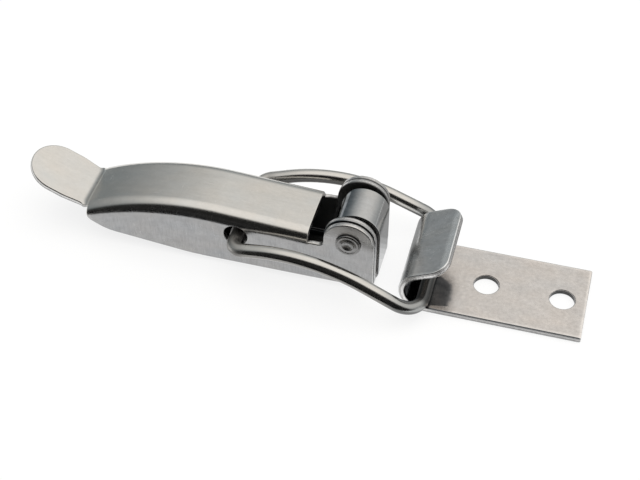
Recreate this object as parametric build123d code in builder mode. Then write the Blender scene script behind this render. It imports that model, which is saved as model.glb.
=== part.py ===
"""Over centre toggle latch: pressed sheet lever, bent wire draw bail, base bracket with a
curled knuckle, pivot rivet and hooked catch plate.

Frame: X runs along the latch towards the catch plate, Y across it, Z up from the mounting
plane. The origin lies on that plane, straight below the pivot rivet. The latch is closed.
"""
import os
from math import cos, radians, sin, sqrt, tan

from build123d import *

# ---- Stock --------------------------------------------------------------------------------
lever_sheet = 1.2
base_sheet = 1.2
catch_sheet = 1.5
wire_dia = 3.0

# ---- Clearances ---------------------------------------------------------------------------
pin_clearance = 0.05      # rivet shank in the ears, radial
side_clearance = 0.13     # base ear to lever wall
head_clearance = 0.12     # rivet head to lever wall
wire_rest_gap = 0.3       # hanging wire to the foot of its hole
wire_side_gap = 1.9       # bail arm to lever wall at the wire holes
crossbar_gap = 0.4        # crossbar to catch plate

# ---- Pivot rivet --------------------------------------------------------------------------
pivot_height = 14.0
shank_dia = 4.0
rivet_head_dia = 5.5
rivet_head_height = 0.8
rivet_cup_dia = 2.4       # hollow tail of the semi-tubular rivet
rivet_cup_depth = 2.6
rivet_rim_bevel = 0.45    # both edges of the rolled rim

# ---- Lever --------------------------------------------------------------------------------
lever_width = 15.8
lever_bend = 3.0          # outer radius of the two long bends
web_end_x = -9.0          # open end of the web, beside the pivot
web_end_rise = 0.2        # top of the open end above the rivet axis
web_slope = 3.4           # degrees, straight run of the web
camber_crest_x = -33.0
camber_radius = 61.0
thumb_bend_x = -61.3      # corner of the bend between web and tab, in the middle of the sheet
thumb_setback = 1.1       # channel's blunt end, this side of that corner
wall_foot_height = 1.5
wall_foot_end_x = -35.5   # where the foot of the wall starts to rise
wall_foot_radius = 40.0   # of the sweep from the level foot to the rising one
wall_heel_x = -55.5
wall_nose_drop = 2.9      # lower corner of the blunt end, below the web's top
wall_heel_drop = 2.5      # heel below that corner
wall_nose_radius = 2.4
wall_heel_radius = 10.0
ear_radius = 5.5
ear_foot_radius = 1.0
notch_depth = 2.1         # floor of the relief beside the ear, below the web's open end
notch_radius = 1.2        # where the relief meets the ear
thumb_tilt = 26.0         # degrees
thumb_length = 15.1
thumb_width = 12.9
thumb_neck_width = 12.0
thumb_flare = 1.0         # concave flare where the tab leaves the web
thumb_bend = 3.0          # inner radius of the bend between web and tab

# ---- Bail ---------------------------------------------------------------------------------
bail_hole_x = -25.1
bail_hole_drop = 4.1      # hole centre below the rivet axis
bail_hole_dia = 5.2
bail_leg_reach = 1.6      # wire end past the inner face of the lever wall
bail_leg_bend = 2.2
wire_end_chamfer = 0.4
bail_crest_x = -6.6
bail_crest_rise = 5.2     # highest bend of the arm above its end in the lever
bail_crest_width = 27.1   # between the arm centrelines at that bend
bail_crest_radius = 35.0
bail_corner_radius = 5.4
bail_hook_width = 29.3    # between the arm centrelines at the crossbar
crossbar_x = 17.0

# ---- Catch plate --------------------------------------------------------------------------
catch_width = 20.0
catch_end_x = 51.0
hook_centre_x = 17.2
hook_inner_radius = 4.1
hook_tilt = 26.0          # degrees, slope of the hook's tongue
hook_tongue = 7.3
hook_corner_radius = 3.7
mount_hole_dia = 5.5
mount_pitch = 16.5
catch_hole_edge = 5.3     # last hole centre from the plate's end

# ---- Base bracket -------------------------------------------------------------------------
knuckle_radius = 5.2
knuckle_length = 8.7
knuckle_wrap = 235.0      # degrees from the front face over the top
knuckle_offset = 0.9      # knuckle axis in front of the rivet axis
base_front_bend = 3.0     # outer radius under the front tongue
base_side_bend = 1.8      # outer radius under the ears
base_ear_radius = 5.7
base_ear_rear_x = -7.4    # rear foot of the ear
base_ear_front_foot = 2.4 # lowest point of the ear's front edge
base_relief_x = 2.4       # corner relief between ear and front tongue
base_strip_end_x = -36.5
base_hole_edge = 6.0      # rear hole centre from the strip's end
base_end_radius = 3.0

# ---- Working values -----------------------------------------------------------------------
spot = 0.001              # how near a picked edge lies to its stated place
overrun = 1.0             # how far a cut runs past the faces it cuts

os.makedirs("parts", exist_ok=True)

# ---- Derived sizes ------------------------------------------------------------------------
slope = radians(web_slope)
tilt = radians(thumb_tilt)
lever_half = lever_width / 2
lever_inside = lever_half - lever_sheet
base_half = lever_inside - side_clearance
wire_radius = wire_dia / 2
pin_hole_radius = shank_dia / 2 + pin_clearance
web_end_height = pivot_height + web_end_rise
channel_end_x = thumb_bend_x + thumb_setback

# The web's top is an arc over the crest that runs on as a straight, falling line.
camber_centre_z = (
    web_end_height
    + tan(slope) * (web_end_x - camber_crest_x - camber_radius * sin(slope))
    - camber_radius * cos(slope)
)


def web_height(x, depth=0.0):
    """Height of the web's arc at x, the given depth into the sheet."""
    return camber_centre_z + sqrt((camber_radius - depth) ** 2 - (x - camber_crest_x) ** 2)


def web_line(depth=0.0):
    """Corners of the web's profile: thumb end, crest, join of arc and line, open end."""
    radius = camber_radius - depth
    return (
        (channel_end_x, web_height(channel_end_x, depth)),
        (camber_crest_x, camber_centre_z + radius),
        (camber_crest_x + radius * sin(slope), camber_centre_z + radius * cos(slope)),
        (web_end_x, web_end_height - depth / cos(slope)),
    )


def corner(x, z):
    """Picks the edges across the latch that stand at x, z in the side view."""
    return lambda e: (
        e.geom_type == GeomType.LINE
        and abs(e.tangent_at(0).Y) > 1 - spot
        and abs(e.center().X - x) < spot
        and abs(e.center().Z - z) < spot
    )


def long_edge(half, low):
    """Picks the upper long edges of a channel, the given half width from the middle."""
    return lambda e: (
        abs(abs(e.center().Y) - half) < spot
        and channel_end_x + spot < e.center().X < web_end_x - spot
        and e.center().Z > low
    )


# ---- Lever: one pressed channel with ears and a thumb tab -----------------------------------
with BuildPart() as lever_hollow:
    # The space between the walls, open below, at the thumb end and around the pivot.
    inner_thumb, inner_crest, inner_join, inner_end = web_line(lever_sheet)
    with BuildSketch(Plane.XZ):
        with BuildLine():
            ThreePointArc(inner_thumb, inner_crest, inner_join)
            Polyline(
                inner_join,
                inner_end,
                (web_end_x, -overrun),
                (channel_end_x, -overrun),
                inner_thumb,
            )
        make_face()
    extrude(amount=lever_inside, both=True)
    fillet(edges().filter_by(long_edge(lever_inside, 0)), radius=lever_bend - lever_sheet)
    with BuildSketch(Plane.XY):
        with Locations((web_end_x, 0)):
            Rectangle(
                ear_radius - web_end_x + overrun, 2 * lever_inside, align=(Align.MIN, Align.CENTER)
            )
    extrude(amount=pivot_height + ear_radius + overrun)

thumb_end, crest, join, open_end = web_line()
nose = (channel_end_x, thumb_end[1] - wall_nose_drop)
heel = (wall_heel_x, nose[1] - wall_heel_drop)

with BuildPart() as lever:
    # Channel up to the open end of the web, with its two long bends.
    with BuildSketch(Plane.XZ):
        with BuildLine():
            ThreePointArc(thumb_end, crest, join)
            Polyline(join, open_end, (web_end_x, 0), (channel_end_x, 0), thumb_end)
        make_face()
    extrude(amount=lever_half, both=True)
    fillet(edges().filter_by(long_edge(lever_half, web_end_height - lever_bend)), radius=lever_bend)
    # Side outline of the channel: blunt nose, heel and level foot.
    with BuildSketch(Plane.XZ):
        with BuildLine():
            FilletPolyline(
                (channel_end_x, crest[1] + overrun),
                nose,
                heel,
                (wall_foot_end_x, wall_foot_height),
                (web_end_x, wall_foot_height),
                radius=[wall_nose_radius, wall_heel_radius, wall_foot_radius],
            )
            Polyline(
                (web_end_x, wall_foot_height),
                (web_end_x, crest[1] + overrun),
                (channel_end_x, crest[1] + overrun),
            )
        make_face()
    extrude(amount=lever_half, both=True, mode=Mode.INTERSECT)
    # Ears, past a relief at the open end of the web.
    notch_floor = web_end_height - notch_depth
    with BuildSketch(Plane.XZ):
        with BuildLine():
            Polyline(
                (-ear_radius, pivot_height),
                (-ear_radius, notch_floor),
                (web_end_x, notch_floor),
                (web_end_x, wall_foot_height),
                (ear_radius, wall_foot_height),
                (ear_radius, pivot_height),
            )
            ThreePointArc(
                (ear_radius, pivot_height), (0, pivot_height + ear_radius), (-ear_radius, pivot_height)
            )
        make_face()
    extrude(amount=lever_half, both=True)
    fillet(edges().filter_by(corner(-ear_radius, notch_floor)), radius=notch_radius)
    fillet(edges().filter_by(corner(ear_radius, wall_foot_height)), radius=ear_foot_radius)
    # Thumb tab: a tongue of the web, bent up.
    bend_corner = (thumb_bend_x, web_height(thumb_bend_x, lever_sheet / 2))
    in_web_x = thumb_bend_x + (thumb_bend + lever_sheet) / 2
    with BuildSketch(Plane.XZ):
        with BuildLine() as tab_line:
            FilletPolyline(
                (in_web_x, web_height(in_web_x, lever_sheet / 2)),
                bend_corner,
                (thumb_bend_x - thumb_length * cos(tilt), bend_corner[1] + thumb_length * sin(tilt)),
                radius=thumb_bend + lever_sheet / 2,
            )
        trace(tab_line.line, line_width=lever_sheet)
    extrude(amount=thumb_width / 2, both=True)
    add(lever_hollow.part, mode=Mode.SUBTRACT)
    # Outline of the tab, cut square to its face: flared neck and round end.
    tab_face = Plane(
        origin=(bend_corner[0], 0, bend_corner[1]),
        x_dir=(-cos(tilt), 0, sin(tilt)),
        z_dir=(sin(tilt), 0, cos(tilt)),
    )
    end_centre = thumb_length - thumb_width / 2
    with BuildSketch(tab_face):
        Rectangle(2 * thumb_length, 2 * lever_width, align=(Align.MIN, Align.CENTER))
        with BuildLine():
            flare = CenterArc((thumb_flare, thumb_neck_width / 2 + thumb_flare), thumb_flare, 180, 90)
            neck = Spline(flare @ 1, (end_centre, thumb_width / 2), tangents=((1, 0), (1, 0)))
            rounded = CenterArc((end_centre, 0), thumb_width / 2, 90, -90)
            mirror(flare, about=Plane.XZ)
            mirror(neck, about=Plane.XZ)
            mirror(rounded, about=Plane.XZ)
            Line(flare @ 0, (0, -(thumb_neck_width / 2 + thumb_flare)))
        make_face(mode=Mode.SUBTRACT)
    extrude(amount=3 * lever_sheet, both=True, mode=Mode.SUBTRACT)
    # Rivet holes and the holes that the bail hooks into.
    with Locations(Plane.XZ):
        with Locations((0, pivot_height)):
            Hole(radius=pin_hole_radius)
        with Locations((bail_hole_x, pivot_height - bail_hole_drop)):
            Hole(radius=bail_hole_dia / 2)

# ---- Draw bail: one bent wire -----------------------------------------------------------------
bail_pivot_z = pivot_height - bail_hole_drop - bail_hole_dia / 2 + wire_rest_gap + wire_radius
crossbar_z = catch_sheet + crossbar_gap + wire_radius
bail_hole_half = lever_half + wire_side_gap + wire_radius
leg_end = lever_inside - bail_leg_reach
near_side = [
    (bail_hole_x, -leg_end, bail_pivot_z),
    (bail_hole_x, -bail_hole_half, bail_pivot_z),
    (bail_crest_x, -bail_crest_width / 2, bail_pivot_z + bail_crest_rise),
    (crossbar_x, -bail_hook_width / 2, crossbar_z),
]
far_side = [(x, -y, z) for x, y, z in reversed(near_side)]
bend_radii = [bail_leg_bend, bail_crest_radius, bail_corner_radius]

with BuildPart() as bail:
    with BuildLine() as wire_path:
        FilletPolyline(*near_side, *far_side, radius=bend_radii + bend_radii[::-1])
    with BuildSketch(Plane(origin=near_side[0], z_dir=(0, -1, 0))):
        Circle(wire_radius)
    sweep(path=wire_path.line, transition=Transition.ROUND)
    wire_ends = edges().filter_by(lambda e: abs(abs(e.center().Y) - leg_end) < spot)
    chamfer(wire_ends, length=wire_end_chamfer)

# ---- Catch plate: flat plate rolled into an open hook -----------------------------------------
hook_centre_z = catch_sheet + hook_inner_radius
hook_mid = hook_inner_radius + catch_sheet / 2
hook_slope = radians(hook_tilt)
tongue_start = (hook_centre_x - hook_mid * sin(hook_slope), hook_centre_z + hook_mid * cos(hook_slope))
tongue_end = (
    tongue_start[0] + hook_tongue * cos(hook_slope),
    tongue_start[1] + hook_tongue * sin(hook_slope),
)

with BuildPart() as catch_plate:
    with BuildSketch(Plane.XZ):
        with BuildLine() as catch_line:
            Line((catch_end_x, catch_sheet / 2), (hook_centre_x, catch_sheet / 2))
            CenterArc((hook_centre_x, hook_centre_z), hook_mid, 270, -(180 - hook_tilt))
            Line(tongue_start, tongue_end)
        trace(catch_line.line, line_width=catch_sheet)
    extrude(amount=catch_width / 2, both=True)
    # Rounded free corners of the tongue, and the mounting holes.
    tongue_plane = Plane(
        origin=(tongue_end[0], 0, tongue_end[1]),
        x_dir=(cos(hook_slope), 0, sin(hook_slope)),
        z_dir=(-sin(hook_slope), 0, cos(hook_slope)),
    )
    fillet(
        edges().filter_by(Axis((0, 0, 0), tongue_plane.z_dir)).filter_by(
            lambda e: abs(tongue_plane.to_local_coords(e.center()).X) < spot
        ),
        radius=hook_corner_radius,
    )
    with Locations(Plane.XY.offset(catch_sheet)):
        with Locations(
            (catch_end_x - catch_hole_edge, 0), (catch_end_x - catch_hole_edge - mount_pitch, 0)
        ):
            Hole(radius=mount_hole_dia / 2, depth=catch_sheet)

# ---- Base bracket: strip, two ears and a front tongue curled over the rivet -------------------
knuckle_mid = knuckle_radius - base_sheet / 2
front_bend_mid = base_front_bend - base_sheet / 2
front_mid_x = knuckle_offset + knuckle_mid

with BuildPart() as base:
    # Ears: a channel cut to the ears' outline.
    with BuildSketch(Plane.YZ.offset(base_ear_rear_x)):
        with BuildLine() as ear_line:
            ears_mid = base_half - base_sheet / 2
            FilletPolyline(
                (-ears_mid, pivot_height + base_ear_radius),
                (-ears_mid, base_sheet / 2),
                (ears_mid, base_sheet / 2),
                (ears_mid, pivot_height + base_ear_radius),
                radius=base_side_bend - base_sheet / 2,
            )
        trace(ear_line.line, line_width=base_sheet)
    extrude(amount=base_ear_radius - base_ear_rear_x)
    with BuildSketch(Plane.XZ):
        with BuildLine():
            Polyline(
                (-base_ear_radius, pivot_height),
                (base_ear_rear_x, base_side_bend),
                (base_ear_rear_x, 0),
                (base_relief_x, 0),
                (base_relief_x, base_ear_front_foot),
                (base_ear_radius, base_ear_front_foot),
                (base_ear_radius, pivot_height),
            )
            ThreePointArc(
                (base_ear_radius, pivot_height),
                (0, pivot_height + base_ear_radius),
                (-base_ear_radius, pivot_height),
            )
        make_face()
    extrude(amount=lever_half, both=True, mode=Mode.INTERSECT)
    # Mounting strip under the lever.
    with BuildSketch(Plane.XY):
        with Locations((base_strip_end_x, 0)):
            Rectangle(base_ear_rear_x - base_strip_end_x, 2 * base_half, align=(Align.MIN, Align.CENTER))
        fillet(vertices().group_by(Axis.X)[0], radius=base_end_radius)
    extrude(amount=base_sheet)
    # Front tongue: up from the strip and curled over into the knuckle.
    with BuildSketch(Plane.XZ):
        with BuildLine() as tongue_line:
            run = Line((0, base_sheet / 2), (front_mid_x - front_bend_mid, base_sheet / 2))
            bend = JernArc(run @ 1, run % 1, front_bend_mid, 90)
            rise = Line(bend @ 1, (front_mid_x, pivot_height))
            CenterArc((knuckle_offset, pivot_height), knuckle_mid, 0, knuckle_wrap)
        trace(tongue_line.line, line_width=base_sheet)
    extrude(amount=knuckle_length / 2, both=True)
    # Rivet holes and mounting holes.
    with Locations(Plane.XZ):
        with Locations((0, pivot_height)):
            Hole(radius=pin_hole_radius)
    with Locations(Plane.XY.offset(base_sheet)):
        with Locations(
            (base_strip_end_x + base_hole_edge, 0), (base_strip_end_x + base_hole_edge + mount_pitch, 0)
        ):
            Hole(radius=mount_hole_dia / 2, depth=base_sheet)

# ---- Pivot rivet: domed factory head on the far side, rolled hollow tail on the near side --------
head_seat = lever_half + head_clearance
tail_end = -head_seat - rivet_head_height
with BuildPart() as rivet:
    with BuildSketch(Plane.XY.offset(pivot_height)):
        with BuildLine():
            Polyline(
                (0, head_seat + rivet_head_height),
                (0, tail_end + rivet_cup_depth),
                (rivet_cup_dia / 2, tail_end + rivet_cup_depth),
                (rivet_cup_dia / 2, tail_end + rivet_rim_bevel),
                (rivet_cup_dia / 2 + rivet_rim_bevel, tail_end),
                (rivet_head_dia / 2 - rivet_rim_bevel, tail_end),
                (rivet_head_dia / 2, tail_end + rivet_rim_bevel),
                (rivet_head_dia / 2, -head_seat),
                (shank_dia / 2, -head_seat),
                (shank_dia / 2, head_seat),
                (rivet_head_dia / 2, head_seat),
            )
            RadiusArc(
                (rivet_head_dia / 2, head_seat),
                (0, head_seat + rivet_head_height),
                -((rivet_head_dia / 2) ** 2 + rivet_head_height**2) / (2 * rivet_head_height),
            )
        make_face()
    revolve(axis=Axis((0, 0, pivot_height), (0, 1, 0)))

for name, piece in {
    "lever": lever,
    "bail": bail,
    "catch_plate": catch_plate,
    "base": base,
    "rivet": rivet,
}.items():
    piece.part.label = name
    export_step(piece.part, f"parts/{name}.step")
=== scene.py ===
"""Over centre toggle latch, dressed for rendering around its packed solids."""
import math
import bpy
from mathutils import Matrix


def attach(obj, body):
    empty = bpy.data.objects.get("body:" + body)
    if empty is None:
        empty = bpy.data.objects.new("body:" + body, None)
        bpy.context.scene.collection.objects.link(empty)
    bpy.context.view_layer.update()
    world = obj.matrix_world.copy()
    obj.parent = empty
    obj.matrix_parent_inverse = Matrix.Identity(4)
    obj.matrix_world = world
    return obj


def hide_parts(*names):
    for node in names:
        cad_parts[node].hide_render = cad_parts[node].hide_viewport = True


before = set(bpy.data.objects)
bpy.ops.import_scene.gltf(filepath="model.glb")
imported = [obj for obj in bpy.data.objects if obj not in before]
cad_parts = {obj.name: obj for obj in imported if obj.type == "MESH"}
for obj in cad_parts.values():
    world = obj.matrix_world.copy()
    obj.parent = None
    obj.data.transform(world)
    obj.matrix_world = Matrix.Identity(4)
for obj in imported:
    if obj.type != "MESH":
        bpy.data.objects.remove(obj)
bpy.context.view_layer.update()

from types import SimpleNamespace

import bmesh
import bpy
from bpy.props import FloatProperty, FloatVectorProperty, PointerProperty
from mathutils import Vector

bl_info = {
    "name": "Over Centre Toggle Latch",
    "version": (1, 0, 0),
    "blender": (4, 5, 0),
    "location": "View3D > Sidebar > Latch",
    "description": "Builds the sheet-metal, wire and rivet pieces of a toggle latch and a small studio",
    "category": "Object",
}

MM = 0.001


# ---- Shader maths ---------------------------------------------------------------------------
class Socket:
    """A node's output that can be used in Python expressions; each step adds a Math node."""

    def __init__(self, graph, output):
        self.graph = graph
        self.output = output

    def maths(self, operation, *values):
        return self.graph.node("ShaderNodeMath", {"operation": operation}, dict(enumerate(values)))

    def __add__(self, other):
        return self.maths("ADD", self, other)

    def __radd__(self, other):
        return self.maths("ADD", other, self)

    def __sub__(self, other):
        return self.maths("SUBTRACT", self, other)

    def __rsub__(self, other):
        return self.maths("SUBTRACT", other, self)

    def __mul__(self, other):
        return self.maths("MULTIPLY", self, other)

    def __rmul__(self, other):
        return self.maths("MULTIPLY", other, self)

    def __truediv__(self, other):
        return self.maths("DIVIDE", self, other)

    def __rtruediv__(self, other):
        return self.maths("DIVIDE", other, self)


class Graph:
    """A node tree that nodes are added to by type, settings and inputs."""

    def __init__(self, tree):
        self.tree = tree

    def node(self, kind, settings=None, inputs=None, output=0):
        """Adds a node, sets its settings first, then its inputs, and returns one output.

        An output of None returns the list of them all.
        """
        made = self.tree.nodes.new(kind)
        for name, value in (settings or {}).items():
            if name == "stops":
                self.set_stops(made.color_ramp, value)
            else:
                setattr(made, name, value)
        for name, value in (inputs or {}).items():
            self.feed(made.inputs[name], value)
        if output is None:
            return [Socket(self, item) for item in made.outputs]
        return Socket(self, made.outputs[output])

    def feed(self, socket, value):
        """Links a node's output to an input socket, or sets the socket's own value."""
        if isinstance(value, Socket):
            self.tree.links.new(value.output, socket)
        else:
            socket.default_value = value

    def set_stops(self, ramp, stops):
        """Gives a colour ramp its stops, a list of (place, colour)."""
        while len(ramp.elements) > 1:
            ramp.elements.remove(ramp.elements[-1])
        ramp.elements[0].position, ramp.elements[0].color = stops[0]
        for place, colour in stops[1:]:
            ramp.elements.new(place).color = colour

    def mix_colour(self, factor, first, second, blend="MIX"):
        """The first colour where the factor is 0, the second where it is 1."""
        return self.node(
            "ShaderNodeMix",
            {"data_type": "RGBA", "blend_type": blend},
            {0: factor, 6: first, 7: second},
            output=2,
        )

    def dot(self, first, second):
        """The dot product of two vectors."""
        return self.node(
            "ShaderNodeVectorMath", {"operation": "DOT_PRODUCT"}, {0: first, 1: second}, output="Value"
        )

    def axes(self, vector):
        """The three parts of a vector."""
        return self.node("ShaderNodeSeparateXYZ", None, {0: vector}, output=None)

    def noise(self, x, y, z=0.0, detail=3.0):
        """Noise of feature size one at the given place, about 0.5 on average."""
        place = self.node("ShaderNodeCombineXYZ", None, {0: x, 1: y, 2: z})
        return self.node("ShaderNodeTexNoise", None, {"Vector": place, "Scale": 1.0, "Detail": detail})

    def step(self, value, low, high):
        """0 below low, 1 above high, and a smooth rise between them."""
        return self.node(
            "ShaderNodeMapRange",
            {"interpolation_type": "SMOOTHSTEP"},
            {"Value": value, "From Min": low, "From Max": high},
        )


def grey(level):
    """A neutral opaque colour."""
    return (level, level, level, 1.0)


# ---- Folding sheet metal --------------------------------------------------------------------
# A sheet piece starts as a flat blank with coordinates u along it, v across it and w through it.
# Its loops are the blank's outline and holes. A fold gives each u, v its place, the directions
# that u and v are measured in, and the normal.
#
# Each loop gets a ring of points at each of these turns, from the upper face (0 degrees) to the
# lower one (180 degrees). The sheared wall lies between the two rings at 90 degrees.
EDGE_TURNS = (0, 30, 60, 90, 90, 120, 150, 180)
UPPER_RINGS = len(EDGE_TURNS) // 2
UPPER_FACE, SHEARED_WALL, LOWER_FACE = 0, 1, 2  # material slots of a sheet piece
WELD = 1e-5  # points nearer than this to a cut are on it, in millimetres


def corner_points(previous, here, following, radius, turn=9.0):
    """Replaces a corner of a flat outline by an arc of the given radius."""
    before = (Vector(previous) - Vector(here)).normalized()
    after = (Vector(following) - Vector(here)).normalized()
    opening = before.angle(after)
    reach = radius / math.tan(opening / 2)
    centre = Vector(here) + (before + after).normalized() * (radius / math.sin(opening / 2))
    first = Vector(here) + before * reach - centre
    last = Vector(here) + after * reach - centre
    sweep = math.pi - opening
    count = max(2, math.ceil(math.degrees(sweep) / turn))
    points = []
    for i in range(count + 1):
        near, far = math.sin(sweep * (1 - i / count)), math.sin(sweep * i / count)
        points.append(tuple(centre + (first * near + last * far) / math.sin(sweep)))
    return points


def rounded(points):
    """Outline from corners (x, y, radius); a corner without a radius stays sharp."""
    outline = []
    for index, (x, y, radius) in enumerate(points):
        previous, following = points[index - 1][:2], points[(index + 1) % len(points)][:2]
        if radius:
            outline.extend(corner_points(previous, (x, y), following, radius))
        else:
            outline.append((x, y))
    return outline


def arc(centre, radius, start, end, turn=7.5):
    """Points of an arc, angles in degrees."""
    count = max(2, math.ceil(abs(end - start) / turn))
    angles = [math.radians(start + (end - start) * i / count) for i in range(count + 1)]
    return [(centre[0] + radius * math.cos(a), centre[1] + radius * math.sin(a)) for a in angles]


def circle(centre, radius, count=56):
    """A closed loop of points round a hole."""
    return arc(centre, radius, 0, 360, 360 / count)[:-1]


def divided(points, size):
    """The same path with its straight runs cut into steps no longer than size."""
    path = [points[0]]
    for start, end in zip(points, points[1:]):
        count = max(1, math.ceil(math.dist(start, end) / size))
        path += [tuple(Vector(start).lerp(Vector(end), i / count)) for i in range(1, count + 1)]
    return path


def signed_area(loop):
    """Area of a loop, positive when it runs anticlockwise."""
    return sum(a[0] * b[1] - b[0] * a[1] for a, b in zip(loop, loop[1:] + loop[:1])) / 2


def miters(loop, sharpest=0.3):
    """The outward step of each point that moves a loop's sides out by one.

    sharpest keeps the step short where two sides nearly fold back on each other.
    """
    steps = []
    for index, here in enumerate(loop):
        previous, following = Vector(loop[index - 1]), Vector(loop[(index + 1) % len(loop)])
        before = (Vector(here) - previous).normalized()
        after = (following - Vector(here)).normalized()
        first, second = Vector((before.y, -before.x)), Vector((after.y, -after.x))
        steps.append((first + second) / max(1 + first.dot(second), sharpest))
    return steps


def mirrored(points):
    """The same points on the other side of the middle line."""
    return [(u, -v) for u, v in points]


def both_sides(half):
    """A closed outline from a half one that starts and ends on the middle line."""
    return half + mirrored(half[-2:0:-1])


def edge_rings(bm, loop, flat_normal, top, foot, edge):
    """Points of a loop's rounded and sheared edge, with their normals before folding."""
    steps = miters(loop)
    rings = []
    for number, degrees in enumerate(EDGE_TURNS):
        outward, upward = math.sin(math.radians(degrees)), math.cos(math.radians(degrees))
        height = top - edge if number < UPPER_RINGS else foot + edge
        ring = []
        for point, step in zip(loop, steps):
            at = Vector(point) - step * edge * (1 - outward)
            vert = bm.verts.new((at.x, at.y, height + edge * upward))
            level = step.normalized() * outward
            vert[flat_normal] = (level.x, level.y, upward)
            ring.append(vert)
        rings.append(ring)
    return rings


def join_rings(bm, rings):
    """Faces between neighbouring rings, each with its material slot."""
    for number, (upper, lower) in enumerate(zip(rings, rings[1:]), start=1):
        slot = UPPER_FACE if number < UPPER_RINGS else LOWER_FACE
        slot = SHEARED_WALL if number == UPPER_RINGS else slot
        for i in range(len(upper)):
            j = (i + 1) % len(upper)
            face = bm.faces.new((upper[i], lower[i], lower[j], upper[j]))
            face.material_index = slot


def fill_face(bm, edges, way, slot):
    """Closes the flat upper (way 1) or lower (way -1) face of a blank with its holes."""
    made = bmesh.ops.triangle_fill(bm, use_beauty=True, edges=edges, normal=(0, 0, way))
    for face in (item for item in made["geom"] if isinstance(item, bmesh.types.BMFace)):
        face.material_index = slot
        face.normal_update()
        if face.normal.z * way < 0:
            face.normal_flip()


def cut_blank(bm, u_cuts, v_cuts):
    """Divides a blank along straight lines, so that it can bend there."""
    for axis, cuts in enumerate((u_cuts, v_cuts)):
        for cut in cuts:
            place, way = Vector(), Vector()
            place[axis], way[axis] = cut, 1
            geometry = bm.verts[:] + bm.edges[:] + bm.faces[:]
            bmesh.ops.bisect_plane(bm, geom=geometry, dist=WELD, plane_co=place, plane_no=way)


def fold_sheet(name, loops, fold, top, foot, edge, u_cuts, v_cuts):
    """Makes a folded sheet piece with a rounded, sheared edge. Sizes are in millimetres.

    The sheet lies between the heights foot and top over the surface that fold gives. Its UV map
    "flat" holds the blank's u and v in metres, and its attribute "depth" is 0 at the foot and 1 at
    the top.
    """
    bm = bmesh.new()
    flat_normal = bm.verts.layers.float_vector.new("flat_normal")
    upper_edges, lower_edges = [], []
    for number, loop in enumerate(loops):
        # The outline runs anticlockwise and the holes run clockwise.
        if (signed_area(loop) > 0) != (number == 0):
            loop = loop[::-1]
        rings = edge_rings(bm, loop, flat_normal, top, foot, edge)
        join_rings(bm, rings)
        for edges, ring in ((upper_edges, rings[0]), (lower_edges, rings[-1])):
            edges.extend(bm.edges.get((ring[i], ring[i - 1])) for i in range(len(ring)))
    fill_face(bm, upper_edges, 1, UPPER_FACE)
    fill_face(bm, lower_edges, -1, LOWER_FACE)
    cut_blank(bm, u_cuts, v_cuts)
    uv = bm.loops.layers.uv.new("flat")
    for face in bm.faces:
        for corner in face.loops:
            corner[uv].uv = corner.vert.co.xy * MM
    normals = []
    depth = bm.verts.layers.float.new("depth")
    for vert in bm.verts:
        u, v, w = vert.co
        vert[depth] = (w - foot) / (top - foot)
        place, along, across, normal = fold(u, v)
        bent = vert[flat_normal]
        normals.append((along * bent[0] + across * bent[1] + normal * bent[2]).normalized())
        vert.co = (place + normal * w) * MM
    bm.verts.layers.float_vector.remove(flat_normal)
    mesh = bpy.data.meshes.new(name)
    bm.to_mesh(mesh)
    bm.free()
    mesh.shade_smooth()
    mesh.normals_split_custom_set_from_vertices(normals)
    return add_piece(name, mesh)


def add_piece(name, mesh):
    """Links a finished mesh as an object at the origin."""
    piece = bpy.data.objects.new(name, mesh)
    bpy.context.scene.collection.objects.link(piece)
    return piece


def dress(piece, node, body, slot, *materials):
    """Gives a piece its materials and its body, and lets it take its node's place by hiding that node's CAD
    part.
    """
    for material in materials:
        piece.data.materials.append(material)
    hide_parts(node)
    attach(piece, body)


def steps_between(low, high, size):
    """Evenly spaced values from low to high, no further apart than size."""
    count = max(1, math.ceil((high - low) / size))
    return [low + (high - low) * i / count for i in range(count + 1)]


def smooth(value, low, high):
    """0 below low, 1 above high, a smooth rise between them."""
    part = min(max((value - low) / (high - low), 0.0), 1.0)
    return part * part * (3 - 2 * part)


def leaning(angle):
    """Unit vector in the side view, upright at 0 and leaning towards +x."""
    return Vector((math.sin(angle), 0, math.cos(angle)))


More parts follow.
